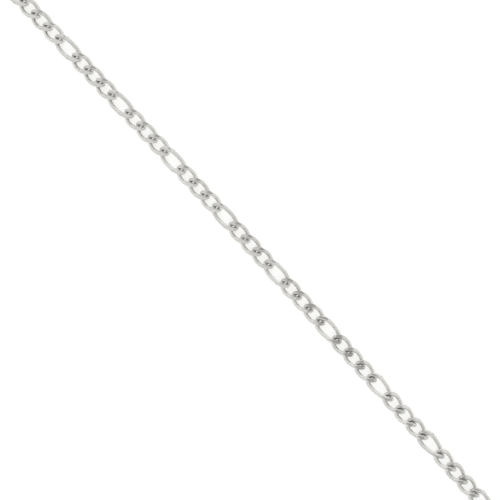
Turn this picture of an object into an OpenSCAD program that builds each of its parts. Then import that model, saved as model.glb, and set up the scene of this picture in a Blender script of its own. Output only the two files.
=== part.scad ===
// Figaro chain necklace: three small curb links to each long one, ground flat and
// bevelled, closed by a lobster claw and lying on a flat surface in a plain loop.
// The front stretch runs along X, the clasp is behind it at +Y, and Z is up.

/* [Chain] */
// Groups of small links, with a long link between each two groups
groups = 27; // [9:2:41]
// Small links in a group
smalls = 3; // [1:1:5]

/* [Link] */
// Width over a link
link_w = 4.25; // [3.9:0.05:5]
// Length over a small link
small_l = 6.68; // [6.4:0.02:7.5]
// Length over a long link
long_l = 8.48; // [7.6:0.02:11]
// How full the corners of a link's oval are: 2 is an ellipse
fullness = 2.5; // [2.2:0.05:2.7]
// Diameter of the wire
wire_d = 1; // [0.7:0.01:1.06]
// Gap between the ends of two hooked links
play = 0.56; // [0.4:0.02:0.8]
// Gap between two wires where they cross
cross_gap = 0.66; // [0.5:0.01:0.8]
// Turn of a small link in the plane of the chain, in degrees
small_yaw = 1.6; // [0:0.1:3]
// Turn of a long link in the plane of the chain, in degrees
long_yaw = 0.8; // [0:0.1:1.4]
// Depth ground off the top and bottom
grind = 0.26; // [0:0.01:0.3]
// Depth of the cut bevels beside each ground flat
bevel_cut = 0.1; // [0:0.01:0.14]
// Slope of the bevels
bevel_slope = 32; // [25:1:45]

/* [Loop] */
// Turn in each half of the front stretch, in degrees
front_turn = 1.1; // [0.2:0.1:10]
// Radius of the loop's two front corners
corner_r = 22; // [21:0.5:40]
// Turn at each of these corners, in degrees
corner_turn = 120; // [100:1:130]
// Most that the links roll about the chain's own line, at the left
roll_max = 20; // [0:1:24]
// Distance from the middle at which the roll begins
roll_start = 2; // [0:1:40]
// Distance over which the roll builds up, and over which it dies away
roll_len = 52; // [50:1:90]
// Distance over which the full roll is kept
roll_keep = 12; // [0:1:50]

/* [Jump rings] */
// Diameter of a jump ring's wire
ring_wire = 0.6; // [0.5:0.02:0.62]
// Diameter over a jump ring
ring_d = 5; // [4.9:0.05:5.4]
// Angle at which a jump ring leans
ring_lean = 39; // [37:1:41]
// Slack between a jump ring and what it holds
ring_play = 0.86; // [0.8:0.02:0.92]

/* [Clasp] */
// Distance between the round ends of the clasp's body
tail_l = 2; // [1.9:0.1:5]
// Thickness of the clasp's body
clasp_t = 2.7; // [2.6:0.05:2.8]
// Width over the claw
claw_w = 5.6; // [5.2:0.1:6]
// Thickness of the claw's round arms
arm_d = 1; // [0.9:0.02:1.1]
// Length of the claw's opening
opening_l = 4.6; // [4.2:0.1:6]
// Width of the clasp's body at the eye's end
tail_w = 3.2; // [2.4:0.1:4]
// Diameter of the wire round the clasp's eye
eye_wire = 0.8; // [0.7:0.02:0.84]
// Hole in the clasp's eye
eye_hole = 2.6; // [2.5:0.05:2.8]
// Diameter of the thumb piece on the clasp's lever
thumb_d = 1.6; // [1:0.1:2.2]

/* [Hidden] */
stations = 12;
wire_sides = 6;
$fn = 64;

// Links: half a length and half a width are measured to the middle of the wire
wire_r = wire_d / 2;
half_w = (link_w - wire_d) / 2;
small_half = (small_l - wire_d) / 2;
long_half = (long_l - wire_d) / 2;
small_pitch = small_l - 2 * wire_d - play;
long_pitch = long_l - 2 * wire_d - play;

// A link is twisted until its wire clears the next link's where the two cross, halfway
// between their middles, so its ends turn further the more it reaches past that point.
cross_w = half_w * pow(1 - pow(long_pitch / 2 / long_half, fullness), 1 / fullness);
cross_turn = asin((wire_d + cross_gap) / (2 * cross_w));
small_twist = cross_turn * 2 * small_half / small_pitch;
long_twist = cross_turn * 2 * long_half / long_pitch;

// Over a quarter of a small link, band() is where the wire's middle lies across it
quarter = [0:3:90];
function band(t) = let (turn = small_twist * pow(cos(t), 2 / fullness))
    half_w * pow(sin(t), 2 / fullness) * [cos(turn), sin(turn)];
flat_z = max([for (t = quarter) band(t)[1]]) + wire_r - grind;
bevel_dir = [sin(bevel_slope), cos(bevel_slope)];
bevel_out = max([for (t = quarter) band(t) * bevel_dir]) + wire_r - bevel_cut;

// Cuts first bring a point in to the bevel, and then down to the ground flat
function side(v) = v < 0 ? -1 : 1;
function over(y, z) = max(0, abs(y) * bevel_dir[0] + abs(z) * bevel_dir[1] - bevel_out);
function bevelled(p) = let (e = over(p.y, p.z)) [
    p.x,
    p.y - e * side(p.y) * bevel_dir[0],
    p.z - e * side(p.z) * bevel_dir[1]
];
function ground(p) = [p.x, p.y, max(-flat_z, min(flat_z, p.z))];

// One point of a link with the middle of its wire on an oval: station t, side k of the wire
function full(v, power) = side(v) * pow(abs(v), power);
function flat_point(half, t, k) = let (
    mid = [half * full(cos(t), 2 / fullness), half_w * full(sin(t), 2 / fullness)],
    slant = [half_w * full(cos(t), 2 - 2 / fullness), half * full(sin(t), 2 - 2 / fullness)],
    out = mid + wire_r * cos(k) * slant / norm(slant)
) [out.x, out.y, wire_r * sin(k)];
function twisted(p, half, twist) = let (turn = -twist * p.x / half) [
    p.x,
    p.y * cos(turn) - p.z * sin(turn),
    p.y * sin(turn) + p.z * cos(turn)
];
function link_points(half, twist) = [
    for (i = [0:stations - 1], k = [0:wire_sides - 1])
        let (flat = flat_point(half, i * 360 / stations, k * 360 / wire_sides))
            ground(bevelled(twisted(flat, half, twist)))
];
function at(i, k) = (i % stations) * wire_sides + k % wire_sides;
link_faces = [
    for (i = [0:stations - 1], k = [0:wire_sides - 1], half = [0, 1])
        half == 0
            ? [at(i, k), at(i, k + 1), at(i + 1, k + 1)]
            : [at(i, k), at(i + 1, k + 1), at(i + 1, k)]
];
small_points = link_points(small_half, small_twist);
long_points = link_points(long_half, long_twist);

// Order of the links, and the distance of each from the middle of the chain
group_l = smalls * small_pitch + long_pitch;
chain_l = groups * group_l - long_pitch;
links = groups * (smalls + 1) - 1;
left_links = ceil(links / 2);
function is_long(i) = i % (smalls + 1) == smalls;
function link_s(i) = floor(i / (smalls + 1)) * group_l - chain_l / 2 + (
    is_long(i) ? group_l - long_pitch / 2 : (i % (smalls + 1) + 0.5) * small_pitch
);

// Two hooked wires each lie this far past the point between them
function hook(wire_a, wire_b, slack) = (wire_a + wire_b) / 4 + slack / 2;
ring_mid_r = (ring_d - ring_wire) / 2;
ring_to_link = ring_mid_r - hook(ring_wire, wire_d, ring_play);
ring_to_eye = ring_mid_r - hook(ring_wire, eye_wire, ring_play);
ring_to_claw = ring_mid_r - hook(ring_wire, arm_d, ring_play);

// The clasp's claw, body and eye in a row, between the two points where its rings pull
claw_mid_r = (claw_w - arm_d) / 2;
body_r = claw_w / 2;
tail_r = tail_w / 2;
eye_mid_r = (eye_hole + eye_wire) / 2;
claw_l = opening_l - hook(ring_wire, arm_d, ring_play) + arm_d / 2 + body_r;
eye_l = 2 * eye_mid_r - hook(ring_wire, eye_wire, ring_play) - eye_wire / 4 + tail_r;
clasp_pull = claw_l + tail_l + eye_l;
loop_half = (chain_l + clasp_pull + ring_to_eye + ring_to_claw) / 2 + ring_to_link;

// The loop: a slightly bowed front, two corners, and one arc round the back,
// with the front as long as the necklace allows. A pose is [x, y, heading].
deg = 180 / PI;
corner_l = corner_r * corner_turn / deg;
back_turn = 180 - front_turn - corner_turn;
back_ratio = back_turn / deg / sin(back_turn);
bow_ratio = sin(front_turn) * deg / front_turn;
corner_reach = corner_r * (sin(back_turn) - sin(front_turn));
front_l = (loop_half - corner_l - corner_reach * back_ratio) / (1 + bow_ratio * back_ratio);
front_r = front_l * deg / front_turn;
back_r = (bow_ratio * front_l + corner_reach) / sin(back_turn);
function along(pose, l, r) = let (end = pose[2] + l / r * deg) [
    pose.x + r * (sin(end) - sin(pose[2])),
    pose.y - r * (cos(end) - cos(pose[2])),
    end
];
front_end = along([0, 0, 0], front_l, front_r);
corner_end = along(front_end, corner_l, corner_r);
back_y = along(corner_end, loop_half - front_l - corner_l, back_r).y;
function right_route(s) =
    s < front_l ? along([0, 0, 0], s, front_r)
    : s < front_l + corner_l ? along(front_end, s - front_l, corner_r)
    : along(corner_end, s - front_l - corner_l, back_r);
function mirrored(pose) = [-pose.x, pose.y, -pose[2]];
function route(s) = s < 0 ? mirrored(right_route(-s)) : right_route(s);

// The links roll towards the front along the left of the front stretch
function ramp(v) = let (u = max(0, min(1, v))) u * u * (3 - 2 * u);
roll_end = roll_start + 2 * roll_len + roll_keep;
function roll(s) = roll_max * ramp((-s - roll_start) / roll_len) * ramp((roll_end + s) / roll_len);
function lift(points, angle) = max([for (p = points) abs(p.y * sin(angle) + p.z * cos(angle))]);

// The clasp lies flat behind the middle of the back, and the rings lean so that
// their planes cut the links' height on one side and the clasp's on the other
clasp_z = clasp_t / 2;
ring_z = ring_mid_r * sin(ring_lean) + ring_wire / 2;
ring_shift = (ring_z - (flat_z + clasp_z) / 2) / tan(ring_lean);
nose_x = -clasp_pull / 2 - hook(ring_wire, arm_d, ring_play) + claw_mid_r;
body_x = -clasp_pull / 2 + claw_l;
tail_x = body_x + tail_l;
eye_x = clasp_pull / 2 + hook(ring_wire, eye_wire, ring_play) - eye_mid_r;
thumb_x = body_x - body_r;
thumb_y = claw_w / 2 - thumb_d / 4;

// The middle of the box around the whole loop lies at Y = 0
middle_y = (back_y + thumb_y + thumb_d / 2 - link_w / 2) / 2;

// Outline of two circles on the X axis and the straight sides between them
module drop(r_a, x_a, r_b, x_b) {
    lean = acos((r_a - r_b) / (x_b - x_a));
    translate([x_a, 0]) circle(r_a);
    translate([x_b, 0]) circle(r_b);
    polygon([
        [x_a + r_a * cos(lean), r_a * sin(lean)],
        [x_b + r_b * cos(lean), r_b * sin(lean)],
        [x_b + r_b * cos(lean), -r_b * sin(lean)],
        [x_a + r_a * cos(lean), -r_a * sin(lean)]
    ]);
}

module torus(mid_r, wire) {
    rotate_extrude() translate([mid_r, 0]) circle(wire / 2);
}

module link(i) {
    s = link_s(i);
    pose = route(s);
    angle = roll(s);
    points = is_long(i) ? long_points : small_points;
    yaw = is_long(i) ? long_yaw : small_yaw;
    translate([pose.x, pose.y - middle_y, lift(points, angle)])
        rotate([angle, 0, pose[2] + yaw])
        polyhedron(points, link_faces, 4);
}

module left_chain() {
    color("gainsboro") for (i = [0:left_links - 1]) link(i);
}

module right_chain() {
    color("silver") for (i = [left_links:links - 1]) link(i);
}

module jump_ring(s, lean) {
    pose = route(s);
    translate([pose.x, pose.y - middle_y, ring_z])
        rotate(pose[2])
        translate([0, sign(lean) * ring_shift, 0])
        rotate([lean, 0, 0])
        torus(ring_mid_r, ring_wire);
}

module claw() {
    translate([nose_x, 0]) {
        rotate(90) rotate_extrude(angle = 180) translate([claw_mid_r, 0]) circle(arm_d / 2);
        for (y = [-claw_mid_r, claw_mid_r])
            translate([0, y, 0]) rotate([0, 90, 0]) cylinder(body_x - nose_x, d = arm_d);
    }
}

module clasp() {
    color("darkgray") translate([0, back_y - middle_y, clasp_z]) {
        claw();
        linear_extrude(clasp_t, center = true) drop(body_r, body_x, tail_r, tail_x);
        translate([thumb_x, thumb_y]) cylinder(arm_d, d = thumb_d, center = true);
        translate([eye_x, 0]) torus(eye_mid_r, eye_wire);
    }
}

module clasp_ring() {
    color("lightgray") jump_ring(chain_l / 2 + ring_to_link, ring_lean);
}

module end_ring() {
    color("lightgray") jump_ring(-chain_l / 2 - ring_to_link, -ring_lean);
}

left_chain();
right_chain();
clasp();
clasp_ring();
end_ring();
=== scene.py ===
"""A figaro chain necklace of polished stainless steel, lying flat in a loop on a white table."""

from math import cos, inf, pi, radians, sin

import bpy
from mathutils import Matrix, Vector
import numpy as np


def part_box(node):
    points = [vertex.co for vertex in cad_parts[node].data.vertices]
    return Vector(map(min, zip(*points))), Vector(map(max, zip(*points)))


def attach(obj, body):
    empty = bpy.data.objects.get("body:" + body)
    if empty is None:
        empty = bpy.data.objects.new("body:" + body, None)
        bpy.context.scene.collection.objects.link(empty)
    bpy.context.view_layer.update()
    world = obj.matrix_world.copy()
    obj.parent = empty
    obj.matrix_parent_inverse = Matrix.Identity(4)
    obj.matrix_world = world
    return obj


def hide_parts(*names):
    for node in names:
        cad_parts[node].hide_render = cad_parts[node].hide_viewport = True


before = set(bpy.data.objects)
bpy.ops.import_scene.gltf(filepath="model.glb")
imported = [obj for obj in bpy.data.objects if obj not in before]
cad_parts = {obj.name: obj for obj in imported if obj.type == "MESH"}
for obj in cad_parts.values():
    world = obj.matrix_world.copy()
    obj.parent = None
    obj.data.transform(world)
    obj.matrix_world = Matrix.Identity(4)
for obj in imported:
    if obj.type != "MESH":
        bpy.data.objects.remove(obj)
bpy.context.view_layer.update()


# The links: round steel wire is bent to ovals, each one hooked into the last and soldered
# shut, and the chain is twisted until it lies flat. Then both faces are ground level, a bevel
# is cut beside each flat, and the whole chain is tumbled bright.
MM = 0.001
WIRE = 1.05 * MM
LINK_WIDTH = 4.25 * MM
LINK_LENGTHS = {"small": 6.68 * MM, "long": 8.48 * MM}
# An oval's handles have this share of its half axes for an ellipse, and more for a fuller oval.
ELLIPSE = 0.5523
FULLNESS = 0.66
# The wire is a little thicker where it is bent round, and thinner along the sides.
END_SPREAD = 1.16
SIDE_SPREAD = 0.98
# A link's ends are twisted by this much against its middle, and the link lies this much askew.
END_TWIST = {"small": radians(62), "long": radians(57)}
LINK_YAW = {"small": radians(1.7), "long": radians(0.6)}
# How far the ground planes lie from the link's middle, and how steep the bevels are.
FLAT_HEIGHT = 1.14 * MM
BEVEL_OUT = 1.74 * MM
BEVEL_SLOPE = radians(32)
# A fine bevel rounds the ground edges, and shading smooths what is gentler than SMOOTH_EDGE.
GROUND_EDGE = radians(26)
EDGE_ROUND = 0.02 * MM
SMOOTH_EDGE = radians(34)
# Painted shade in the crook, round the axis of the next link's wire: full as far as its core, none
# past its edge.
CROOK_CORE = 0.5 * MM
CROOK_EDGE = 1.1 * MM
# The mesh: steps along a quarter of the oval, sides round the wire, and how near points merge.
OVAL_STEPS = 10
WIRE_SIDES = 12
MERGE = 0.001 * MM


def only(piece):
    """Selects one object and makes it the active one."""
    if bpy.context.object and bpy.context.object.mode != "OBJECT":
        bpy.ops.object.mode_set(mode="OBJECT")
    bpy.ops.object.select_all(action="DESELECT")
    piece.select_set(True)
    bpy.context.view_layer.objects.active = piece


def edit(piece):
    """Opens one object in edit mode, selected all over."""
    only(piece)
    bpy.ops.object.mode_set(mode="EDIT")
    bpy.ops.mesh.select_all(action="SELECT")


def seal():
    """Merges doubled points, turns the faces outwards and leaves edit mode."""
    bpy.ops.mesh.select_all(action="SELECT")
    bpy.ops.mesh.remove_doubles(threshold=MERGE)
    bpy.ops.mesh.normals_make_consistent(inside=False)
    bpy.ops.object.mode_set(mode="OBJECT")


def finish_with(piece, kind, **settings):
    """Adds a modifier to the piece and applies it."""
    only(piece)
    modifier = piece.modifiers.new(kind.title(), kind)
    for name, value in settings.items():
        setattr(modifier, name, value)
    bpy.ops.object.modifier_apply(modifier=modifier.name)


def joined(pieces):
    """Joins some objects to one and gives it back."""
    only(pieces[0])
    for piece in pieces:
        piece.select_set(True)
    bpy.ops.object.join()
    return bpy.context.object


def linear(code):
    """Linear colour of an sRGB hex code."""
    parts = [int(code[start:start + 2], 16) / 255 for start in (1, 3, 5)]
    return [part / 12.92 if part <= 0.04045 else ((part + 0.055) / 1.055) ** 2.4
            for part in parts] + [1]


def add_node(tree, kind, links=(), **settings):
    """Adds a node; its settings are properties or inputs, and links are (input, output) pairs."""
    node = tree.nodes.new("ShaderNode" + kind)
    for name, value in settings.items():
        if hasattr(node, name):
            setattr(node, name, value)
        else:
            node.inputs[name.replace("_", " ")].default_value = value
    for socket, source in links:
        tree.links.new(source, node.inputs[socket])
    return node


def new_material(name, metallic):
    """A new material, with its node tree and its Principled shader."""
    material = bpy.data.materials.new(name)
    material.use_nodes = True
    shader = material.node_tree.nodes["Principled BSDF"]
    shader.inputs["Metallic"].default_value = metallic
    return material, material.node_tree, shader


# A noise pattern hardly leaves the range of the marks. The shade is the marks plus a share of
# the tone, and the darker and lighter colours lie at the ends of its range.
MARK_RANGE = (0.3, 0.7)
TONE_SHARE = 0.3
SHADE_RANGE = (0.3, 0.95)


def finish_metal(tree, shader, marks, tone, colors, roughness):
    """Lets the marks and the tone set the colour, and the marks the roughness."""
    shade = add_node(tree, "Math", [(0, tone), (2, marks)], operation="MULTIPLY_ADD")
    shade.inputs[1].default_value = TONE_SHARE
    color = add_node(tree, "ValToRGB", [("Fac", shade.outputs[0])])
    for stop, place, code in zip(color.color_ramp.elements, SHADE_RANGE, colors):
        stop.position = place
        stop.color = linear(code)
    rough = add_node(tree, "MapRange", [("Value", marks)], From_Min=MARK_RANGE[0],
                     From_Max=MARK_RANGE[1], To_Min=roughness[0], To_Max=roughness[1])
    tree.links.new(color.outputs["Color"], shader.inputs["Base Color"])
    tree.links.new(rough.outputs[0], shader.inputs["Roughness"])


def paint_crook_shade(tree, shader, share):
    """Paints shade where the next link hooks in: leaves a share of the colour there."""
    unshaded_color = shader.inputs["Base Color"].links[0].from_socket
    crook = add_node(tree, "Attribute", attribute_name="crook").outputs["Fac"]
    unshaded_share = add_node(tree, "MapRange", [("Value", crook)], To_Min=1, To_Max=share)
    shaded_color = add_node(tree, "VectorMath", [(0, unshaded_color), ("Scale", unshaded_share.outputs[0])],
                      operation="SCALE")
    tree.links.new(shaded_color.outputs[0], shader.inputs["Base Color"])


# Drawn and tumbled wire: bright but not quite a mirror, because the tumbling leaves soft dents
# a few tenths of a millimetre wide, which break up what it reflects.
DENT_SIZE = 0.4 * MM
DENT_DEPTH = 0.03 * MM


def tumbled_steel():
    material, tree, shader = new_material("stainless_steel_wire_tumbled", metallic=1)
    own_place = add_node(tree, "Attribute", attribute_name="own_place").outputs["Vector"]
    tone = add_node(tree, "Attribute", attribute_name="tone").outputs["Fac"]
    dents = add_node(tree, "TexNoise", [("Vector", own_place)], Scale=1 / DENT_SIZE, Detail=3)
    finish_metal(tree, shader, dents.outputs[0], tone, colors=("#D2D1CE", "#E8E7E4"),
                 roughness=(0.2, 0.32))
    # Painted shade where the next link hooks in.
    paint_crook_shade(tree, shader, share=0.4)
    bump = add_node(tree, "Bump", [("Height", dents.outputs[0])], Distance=DENT_DEPTH,
                    Strength=0.5)
    tree.links.new(bump.outputs[0], shader.inputs["Normal"])
    return material


# Ground and polished flats: smoother than the wire, so that they shine as one grey plane, with
# fine scratches along the link from the belt that ground it. Real ones are finer still, and
# these are drawn as coarse as they need to be to show.
SCRATCH_LENGTH = 1.6 * MM
SCRATCH_WIDTH = 0.05 * MM
SCRATCH_DEPTH = 0.003 * MM
BLOTCH_SIZE = 0.5 * MM


def ground_steel():
    material, tree, shader = new_material("stainless_steel_ground_and_polished", metallic=1)
    own_place = add_node(tree, "Attribute", attribute_name="own_place").outputs["Vector"]
    tone = add_node(tree, "Attribute", attribute_name="tone").outputs["Fac"]
    drawn_out = add_node(tree, "VectorMath", [(0, own_place)], operation="MULTIPLY")
    drawn_out.inputs[1].default_value = (1 / SCRATCH_LENGTH, 1 / SCRATCH_WIDTH, 1 / SCRATCH_WIDTH)
    scratches = add_node(tree, "TexNoise", [("Vector", drawn_out.outputs[0])], Scale=1, Detail=2)
    blotches = add_node(tree, "TexNoise", [("Vector", own_place)], Scale=1 / BLOTCH_SIZE,
                        Detail=2)
    finish_metal(tree, shader, blotches.outputs[0], tone, colors=("#D4D3D0", "#E8E7E4"),
                 roughness=(0.1, 0.22))
    # Painted shade where the next link hooks in.
    paint_crook_shade(tree, shader, share=0.75)
    bump = add_node(tree, "Bump", [("Height", scratches.outputs[0])], Distance=SCRATCH_DEPTH,
                    Strength=0.5)
    tree.links.new(bump.outputs[0], shader.inputs["Normal"])
    return material


WIRE_STEEL = tumbled_steel()
GROUND_STEEL = ground_steel()


def grind(height, slope):
    """Cuts away what lies past a plane on both faces and closes the cuts with ground facets."""
    normal = Vector((0, sin(slope), cos(slope)))
    for side in (1, -1):
        bpy.ops.mesh.select_all(action="SELECT")
        bpy.ops.mesh.bisect(plane_co=side * height * normal, plane_no=side * normal,
                            use_fill=True, clear_outer=True)
        bpy.ops.object.material_slot_assign()


def make_link(name):
    """Bends, twists and cuts one link, lying at the origin with its length along X."""
    half = (LINK_LENGTHS[name] - WIRE) / 2
    bpy.ops.object.select_all(action="DESELECT")
    bpy.ops.curve.primitive_bezier_circle_add(radius=1, enter_editmode=True)
    bpy.ops.transform.resize(value=(half, (LINK_WIDTH - WIRE) / 2, 1))
    bpy.ops.object.mode_set(mode="OBJECT")
    link = bpy.context.object
    for point in link.data.splines[0].bezier_points:
        point.handle_left_type = point.handle_right_type = "FREE"
        for handle in (point.handle_left, point.handle_right):
            handle[:] = point.co + (handle - point.co) * FULLNESS / ELLIPSE
        point.radius = END_SPREAD if abs(point.co.x) > abs(point.co.y) else SIDE_SPREAD
    link.data.resolution_u = OVAL_STEPS
    link.data.bevel_depth = WIRE / 2
    link.data.bevel_resolution = WIRE_SIDES // 2 - 2
    bpy.ops.object.convert(target="MESH")
    edit(link)
    seal()
    whole_turn = END_TWIST[name] * LINK_LENGTHS[name] / half
    finish_with(link, "SIMPLE_DEFORM", deform_method="TWIST", deform_axis="X",
                angle=-whole_turn)
    link.data.materials.clear()
    link.data.materials.append(WIRE_STEEL)
    link.data.materials.append(GROUND_STEEL)
    edit(link)
    bpy.ops.transform.rotate(value=-LINK_YAW[name], orient_axis="Z", center_override=(0, 0, 0))
    link.active_material_index = 1
    grind(BEVEL_OUT, BEVEL_SLOPE)
    grind(BEVEL_OUT, -BEVEL_SLOPE)
    grind(FLAT_HEIGHT, 0)
    bpy.ops.object.mode_set(mode="OBJECT")
    finish_with(link, "BEVEL", width=EDGE_ROUND, segments=2, limit_method="ANGLE",
                angle_limit=GROUND_EDGE)
    bpy.ops.object.shade_smooth_by_angle(angle=SMOOTH_EDGE)
    return link


def in_crook(point, crook_x):
    """How far inside the crook a point lies: 1 at the next link's wire, 0 out in the open."""
    gap = Vector((abs(point.x) - crook_x, point.y)).length
    return min(1, max(0, (CROOK_EDGE - gap) / (CROOK_EDGE - CROOK_CORE)))


# Each link takes its marks from another part of the pattern, this much further off.
NEXT_MARKS = 20 * MM


def mark_link(link, count, tone):
    """Keeps what the materials read: each point's place on its own link, moved off for its
    marks, how far it lies in the crook, which sets the painted shade there, and the link's own
    tone."""
    mesh = link.data
    far_off = Vector((0, 0, NEXT_MARKS * count))
    # The next link's wire lies against the inner side of this one's, one and a half wires in.
    crook_x = max(vertex.co.x for vertex in mesh.vertices) - 1.5 * WIRE
    places = mesh.attributes.new("own_place", "FLOAT_VECTOR", "POINT")
    places.data.foreach_set("vector", [number for vertex in mesh.vertices
                                       for number in vertex.co + far_off])
    # How far a point lies in the crook sets the painted shade there.
    crooks = mesh.attributes.new("crook", "FLOAT", "POINT")
    crooks.data.foreach_set("value", [in_crook(vertex.co, crook_x) for vertex in mesh.vertices])
    tones = mesh.attributes.new("tone", "FLOAT", "POINT")
    tones.data.foreach_set("value", [tone] * len(mesh.vertices))


def solids_of(node):
    """Copies a node of the frame and splits it into its loose solids."""
    only(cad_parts[node])
    bpy.ops.object.duplicate()
    edit(bpy.context.object)
    bpy.ops.mesh.remove_doubles(threshold=MERGE)
    bpy.ops.mesh.separate(type="LOOSE")
    bpy.ops.object.mode_set(mode="OBJECT")
    return list(bpy.context.selected_objects)


def seat(solid):
    """Where a solid of the frame lies, X along its length and Z through its thickness, and
    its length."""
    points = np.array([vertex.co for vertex in solid.data.vertices])
    middle = points.mean(axis=0)
    _, axes = np.linalg.eigh(np.cov((points - middle).T))
    along, through = Vector(axes[:, 2]), Vector(axes[:, 0])
    if through.z < 0:
        through = -through
    across = through.cross(along)
    turned = Matrix((along, across, through)).transposed().to_4x4()
    length = np.ptp((points - middle) @ axes[:, 2])
    return Matrix.Translation(Vector(middle)) @ turned, length


scene = bpy.context.scene
LINKS = {name: make_link(name) for name in LINK_LENGTHS}
LONG_FROM = sum(LINK_LENGTHS.values()) / 2
link_tones = np.random.default_rng(7)

for node, piece_name in (("left_chain", "left_chain_links"), ("right_chain", "right_chain_links")):
    links = []
    for solid in solids_of(node):
        place, length = seat(solid)
        link = LINKS["long" if length > LONG_FROM else "small"].copy()
        link.data = link.data.copy()
        mark_link(link, len(links), link_tones.random())
        link.data.transform(place)
        # A rolled link is fuller than its solid and would dip into the table: half is taken back.
        dip = min(0, min(vertex.co.z for vertex in link.data.vertices))
        link.data.transform(Matrix.Translation((0, 0, -dip / 2)))
        scene.collection.objects.link(link)
        links.append(link)
        bpy.data.objects.remove(solid)
    chain = joined(links)
    chain.name = piece_name
    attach(chain, "root")
    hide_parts(node)

for link in LINKS.values():
    bpy.data.objects.remove(link)


# The two jump rings: each is a coil of steel wire cut off in one turn, bent shut round the
# last link and what it joins, so that its ends meet at a fine seam.
RING_WIRE = 0.6 * MM
RING_OVER = 5 * MM
RING_SEAM = radians(1.0)
# The mesh: sides round the wire, steps round the ring, and up to which edge shading is smooth.
RING_SIDES = 20
RING_STEPS = 72
CAST_EDGE = radians(35)

# Cast and tumbled steel: a softer shine than the links', with a faint orange peel from the
# mould and small tone changes where the tumbling didn't reach. The rings' plain wire looks much
# the same, and is given it too.
PEEL_SIZE = 0.3 * MM
PEEL_DEPTH = 0.004 * MM
TONE_SIZE = 2 * MM


def cast_steel():
    material, tree, shader = new_material("cast_stainless_steel_tumbled", metallic=1)
    place = add_node(tree, "TexCoord").outputs["Object"]
    tone = add_node(tree, "TexNoise", [("Vector", place)], Scale=1 / TONE_SIZE).outputs[0]
    peel = add_node(tree, "TexNoise", [("Vector", place)], Scale=1 / PEEL_SIZE, Detail=2)
    finish_metal(tree, shader, peel.outputs[0], tone, colors=("#CFCECB", "#E2E1DE"),
                 roughness=(0.13, 0.22))
    bump = add_node(tree, "Bump", [("Height", peel.outputs[0])], Distance=PEEL_DEPTH,
                    Strength=0.4)
    tree.links.new(bump.outputs[0], shader.inputs["Normal"])
    return material


CAST_STEEL = cast_steel()


def dress(piece, name, node):
    """Names a finished piece, shades it smooth, hangs it on the root and hides its node."""
    piece.name = name
    only(piece)
    bpy.ops.object.shade_smooth_by_angle(angle=CAST_EDGE)
    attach(piece, "root")
    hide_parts(node)


def settle(piece):
    """Gives a new primitive its metal and moves its place from the object into the mesh."""
    only(piece)
    piece.data.materials.append(CAST_STEEL)
    bpy.ops.object.transform_apply(location=True, rotation=True, scale=True)


def spun_ring(mid_radius, wire, turn):
    """Spins a wire's round section about Z at the origin, open by what the turn leaves."""
    bpy.ops.object.select_all(action="DESELECT")
    bpy.ops.mesh.primitive_circle_add(vertices=RING_SIDES, radius=wire / 2,
                                      location=(mid_radius, 0, 0), rotation=(pi / 2, 0, 0))
    ring = bpy.context.object
    edit(ring)
    bpy.ops.mesh.spin(steps=RING_STEPS, angle=turn, center=(0, 0, 0), axis=(0, 0, 1))
    seal()
    settle(ring)
    return ring


def close_ends(piece, reach=0.0):
    """Draws a piece's open ends out along X and closes them."""
    edit(piece)
    bpy.ops.mesh.select_all(action="DESELECT")
    bpy.ops.mesh.select_non_manifold()
    if reach:
        bpy.ops.mesh.extrude_region_move(TRANSFORM_OT_translate={"value": (reach, 0, 0)})
    bpy.ops.mesh.fill()
    seal()


for node in ("clasp_ring", "end_ring"):
    ring = spun_ring((RING_OVER - RING_WIRE) / 2, RING_WIRE, 2 * pi - RING_SEAM)
    close_ends(ring)
    place, _ = seat(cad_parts[node])
    ring.data.transform(place)
    dress(ring, node + "_wire", node)


# The clasp: a lobster claw cast in steel. Its body and fixed arm are one casting with the eye
# at the other end, and a sprung lever with a thumb piece, held by a rivet, closes the claw.
CLAW_WIDTH = 5.6 * MM
CLAW_OPENING = 4.6 * MM
ARM = 1.0 * MM
TAIL_WIDTH = 3.2 * MM
TAIL_LENGTH = 2.0 * MM
BODY_ROUND = 0.65 * MM
EYE_WIRE = 0.8 * MM
EYE_HOLE = 2.6 * MM
THUMB_WIDTH = 1.6 * MM
THUMB_ROUND = 0.25 * MM
RIVET_WIDTH = 1.2 * MM
RIVET_HEAD = 0.1 * MM
# The slit between the fixed arm's tip and the lever, and how far past the nose's bend it lies.
LEVER_SLIT = 0.06 * MM
SLIT_PAST_BEND = 0.1 * MM
# A bevel rounds the rims, which are sharper than RIM. Discs and pins have this many sides.
RIM = radians(60)
BODY_SIDES = 96
PIN_SIDES = 48

clasp_low, clasp_high = (Vector(corner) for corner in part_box("clasp"))
clasp_y = clasp_low.y + CLAW_WIDTH / 2
clasp_z = (clasp_low.z + clasp_high.z) / 2
bend_x = clasp_low.x + CLAW_WIDTH / 2
body_x = clasp_low.x + ARM + CLAW_OPENING + CLAW_WIDTH / 2
eye_x = clasp_high.x - EYE_HOLE / 2 - EYE_WIRE
slit_x = bend_x + SLIT_PAST_BEND


def pick(piece, wanted):
    """Opens a piece in edit mode with only those points selected whose places are wanted."""
    edit(piece)
    bpy.ops.mesh.select_all(action="DESELECT")
    bpy.ops.object.mode_set(mode="OBJECT")
    for vertex in piece.data.vertices:
        vertex.select = wanted(vertex.co)
    bpy.ops.object.mode_set(mode="EDIT")


def keep_side(piece, point, normal, past_y=-inf):
    """Cuts what lies past a Y at a plane, drops what the normal points to and closes the cut."""
    pick(piece, lambda place: place.y > past_y)
    bpy.ops.mesh.bisect(plane_co=point, plane_no=normal, use_fill=True, clear_outer=True)
    bpy.ops.object.mode_set(mode="OBJECT")


def claw_arms():
    """The nose of the claw and its two arms, which run back into the body."""
    claw = spun_ring((CLAW_WIDTH - ARM) / 2, ARM, 2 * pi)
    claw.data.transform(Matrix.Translation((bend_x, clasp_y, clasp_z)))
    edit(claw)
    bpy.ops.mesh.bisect(plane_co=(bend_x, 0, 0), plane_no=(1, 0, 0), clear_outer=True)
    bpy.ops.object.mode_set(mode="OBJECT")
    close_ends(claw, body_x - bend_x)
    return claw


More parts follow.
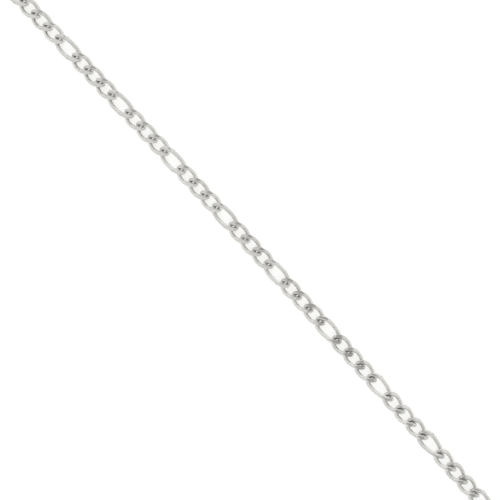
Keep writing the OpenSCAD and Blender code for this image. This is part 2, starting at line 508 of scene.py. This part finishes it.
def clasp_body():
    """The plump drop-shaped body: a disc whose tail half is narrowed and drawn out."""
    plump, slim = CLAW_WIDTH / 2, TAIL_WIDTH / 2
    bpy.ops.object.select_all(action="DESELECT")
    bpy.ops.mesh.primitive_circle_add(vertices=BODY_SIDES, radius=plump, fill_type="NGON",
                                      location=(body_x, clasp_y, clasp_low.z + RIVET_HEAD))
    body = bpy.context.object
    settle(body)
    # The tail starts where a straight side to the slim end leaves the disc.
    tail_from = body_x + plump * (plump - slim) / TAIL_LENGTH
    pick(body, lambda place: place.x > tail_from)
    bpy.ops.transform.resize(value=(slim / plump, slim / plump, 1),
                             center_override=(body_x, clasp_y, 0))
    bpy.ops.transform.translate(value=(TAIL_LENGTH, 0, 0))
    bpy.ops.mesh.select_all(action="SELECT")
    thickness = clasp_high.z - clasp_low.z - 2 * RIVET_HEAD
    bpy.ops.mesh.extrude_region_move(TRANSFORM_OT_translate={"value": (0, 0, thickness)})
    seal()
    finish_with(body, "BEVEL", width=BODY_ROUND, segments=6, limit_method="ANGLE",
                angle_limit=RIM)
    return body


def pin(width, height, place, rounding):
    """A round pin along Z with rounded rims."""
    bpy.ops.object.select_all(action="DESELECT")
    bpy.ops.mesh.primitive_cylinder_add(vertices=PIN_SIDES, radius=width / 2, depth=height,
                                        location=place)
    post = bpy.context.object
    settle(post)
    finish_with(post, "BEVEL", width=rounding, segments=4, limit_method="ANGLE",
                angle_limit=RIM)
    return post


lever_arm = claw_arms()
keep_side(lever_arm, (0, clasp_y, 0), (0, -1, 0))
keep_side(lever_arm, (slit_x + LEVER_SLIT, 0, 0), (-1, 0, 0))
fixed_arm = claw_arms()
keep_side(fixed_arm, (slit_x, 0, 0), (1, 0, 0), past_y=clasp_y)
eye = spun_ring((EYE_HOLE + EYE_WIRE) / 2, EYE_WIRE, 2 * pi)
eye.data.transform(Matrix.Translation((eye_x, clasp_y, clasp_z)))
dress(joined([clasp_body(), fixed_arm, eye]), "clasp_casting", "clasp")

thumb_place = (body_x - CLAW_WIDTH / 2, clasp_high.y - THUMB_WIDTH / 2, clasp_z)
thumb = pin(THUMB_WIDTH, ARM, thumb_place, THUMB_ROUND)
rivet = pin(RIVET_WIDTH, clasp_high.z - clasp_low.z, (body_x, clasp_y, clasp_z), RIVET_HEAD)
dress(joined([lever_arm, thumb, rivet]), "clasp_lever", "clasp")


# The table: a satin sheet of opal acrylic, lit from below and from all round, so that hardly a
# shadow shows.
TABLE_SIZE = 3000 * MM
TABLE_GLOW = 0.62


def opal_acrylic():
    material, _, shader = new_material("opal_acrylic_light_table", metallic=0)
    shader.inputs["Base Color"].default_value = linear("#C0C0C0")
    shader.inputs["Roughness"].default_value = 0.6
    shader.inputs["Emission Color"].default_value = linear("#FFFFFD")
    shader.inputs["Emission Strength"].default_value = TABLE_GLOW
    return material


bpy.ops.object.select_all(action="DESELECT")
bpy.ops.mesh.primitive_plane_add(size=TABLE_SIZE)
table = bpy.context.object
table.name = "light_table"
table.data.materials.append(opal_acrylic())


# The studio: a white tent all round, evenly lit but for a brighter side towards the top of the
# picture, where the lamp stands behind it, and a soft grey patch beside the camera's opening.
PHOTO_TURN = radians(227.46)
PICTURE_TOP = (-sin(PHOTO_TURN), cos(PHOTO_TURN), 0)
TENT_COLORS = ("#E3E3E3", "#FFFFFF")
TENT_GLOW = 1.1
PATCH_HEIGHT = radians(66)
PATCH_SIDE = (0, -cos(PATCH_HEIGHT), sin(PATCH_HEIGHT))
PATCH_EDGE = cos(radians(21))
PATCH_CORE = cos(radians(15))
PATCH_TONE = 0.5


def white_tent():
    world = bpy.data.worlds.new("white_tent")
    world.use_nodes = True
    tree = world.node_tree
    towards = add_node(tree, "TexCoord").outputs["Generated"]
    up_picture = add_node(tree, "VectorMath", [(0, towards)], operation="DOT_PRODUCT")
    up_picture.inputs[1].default_value = PICTURE_TOP
    wall = add_node(tree, "ValToRGB", [("Fac", up_picture.outputs["Value"])])
    for stop, code in zip(wall.color_ramp.elements, TENT_COLORS):
        stop.color = linear(code)
    near_patch = add_node(tree, "VectorMath", [(0, towards)], operation="DOT_PRODUCT")
    near_patch.inputs[1].default_value = PATCH_SIDE
    patch = add_node(tree, "MapRange", [("Value", near_patch.outputs["Value"])],
                     From_Min=PATCH_EDGE, From_Max=PATCH_CORE, To_Min=1, To_Max=PATCH_TONE)
    tent = add_node(tree, "VectorMath", [(0, wall.outputs[0]), ("Scale", patch.outputs[0])],
                    operation="SCALE")
    glow = tree.nodes["Background"]
    glow.inputs["Strength"].default_value = TENT_GLOW
    tree.links.new(tent.outputs[0], glow.inputs["Color"])
    return world


scene.world = white_tent()


# The camera hangs straight above the front stretch, which crosses its frame from corner to
# corner, at the distance at which the photograph's width spans 119 mm.
PHOTO_SPAN = 119.05 * MM
PHOTO_MIDDLE = (-0.64 * MM, -45.59 * MM)
LENS = 100
SENSOR = 36
NEAREST = 10 * MM

camera = bpy.data.objects.new("camera", bpy.data.cameras.new("camera"))
camera.data.lens = LENS
camera.data.sensor_width = SENSOR
camera.data.clip_start = NEAREST
camera.location = (*PHOTO_MIDDLE, PHOTO_SPAN * LENS / SENSOR + FLAT_HEIGHT)
camera.rotation_euler = (0, 0, PHOTO_TURN)
scene.collection.objects.link(camera)
scene.camera = camera
scene.view_settings.view_transform = "Standard"
